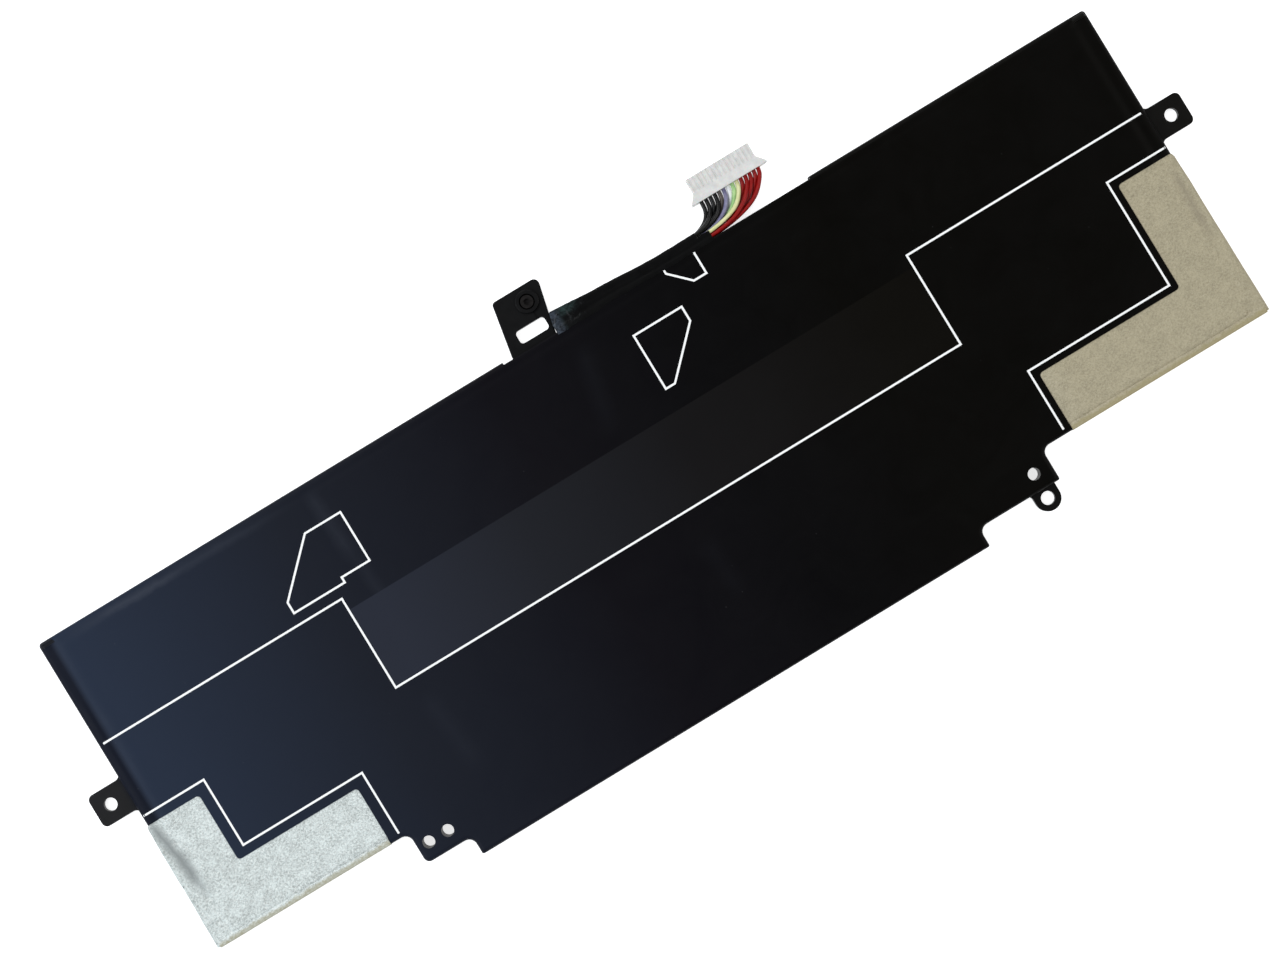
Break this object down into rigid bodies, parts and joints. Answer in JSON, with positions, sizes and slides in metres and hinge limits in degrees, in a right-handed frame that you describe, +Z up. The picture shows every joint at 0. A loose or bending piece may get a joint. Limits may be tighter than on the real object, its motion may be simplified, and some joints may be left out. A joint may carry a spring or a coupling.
{
  "type": "laptop battery",
  "caption": "Flat notebook battery pack: pouch cells under a black film, thin mounting ears and a short ribbon of coloured wires to a pale plug.",
  "frame": {"origin": "middle of the body's flat underside", "axes": "+X along the pack towards the end with the upper ear on the right, +Y towards the edge that the harness leaves by, +Z up out of the printed back"},
  "size_m": [0.2838, 0.1033, 0.0046],
  "materials": {
    "black_film": "semi-matte printed film",
    "plain_film": "satin film",
    "white_print": "screen printed ink",
    "charcoal_strip": "matte printed panel",
    "pouch": "matte grained pouch laminate",
    "frame_plastic": "moulded, fine texture",
    "tan_tape": "thin insulating tape",
    "black_tape": "wound tape",
    "clear_tape": "creased clear tape",
    "foil_aluminium": "rolled foil",
    "foil_nickel": "rolled nickel foil",
    "board": "solder mask",
    "chip_case": "moulded package",
    "ceramic_chip": "fired chip body",
    "potting": "cured compound",
    "insert_metal": "dull plated insert",
    "plug_plastic": "natural nylon",
    "contact_metal": "plated terminal",
    "wire_black": "wire insulation",
    "wire_brown": "wire insulation",
    "wire_violet": "wire insulation",
    "wire_white": "wire insulation",
    "wire_green": "wire insulation",
    "wire_yellow": "wire insulation",
    "wire_red": "wire insulation"
  },
  "bodies": {
    "root": {"back_film": "black_film", "front_film": "plain_film", "printed_lines": "white_print", "matte_strip": "charcoal_strip", "cell_1": "pouch", "cell_2": "pouch", "cell_3": "pouch", "cell_4": "pouch", "aluminium_tabs": "foil_aluminium", "nickel_tabs": "foil_nickel", "left_outer_strap": "foil_nickel", "left_inner_strap": "foil_nickel", "right_outer_strap": "foil_nickel", "right_inner_strap": "foil_nickel", "left_end_tape": "tan_tape", "right_end_tape": "tan_tape", "left_rail": "frame_plastic", "right_rail": "frame_plastic", "ear_insert": "insert_metal", "left_bracket": "frame_plastic", "right_bracket": "frame_plastic", "board_tray": "frame_plastic", "circuit_board": "board", "weld_pads": "foil_nickel", "gauge_chip": "chip_case", "protector_chip": "chip_case", "power_switches": "chip_case", "sense_resistor": "ceramic_chip", "chip_fuse": "ceramic_chip", "thermistors": "ceramic_chip", "capacitors": "ceramic_chip", "resistors": "chip_case", "wire_potting": "potting", "inner_harness": "wire_black", "harness_sleeve": "black_tape", "exit_cover": "clear_tape", "plug_housing": "plug_plastic", "plug_contacts": "contact_metal", "wire_black_1": "wire_black", "wire_black_2": "wire_black", "wire_black_3": "wire_black", "wire_black_4": "wire_black", "wire_brown": "wire_brown", "wire_violet": "wire_violet", "wire_white": "wire_white", "wire_green": "wire_green", "wire_yellow": "wire_yellow", "wire_red_1": "wire_red", "wire_red_2": "wire_red", "wire_red_3": "wire_red", "wire_red_4": "wire_red", "wire_red_5": "wire_red"}
  },
  "joints": []
}
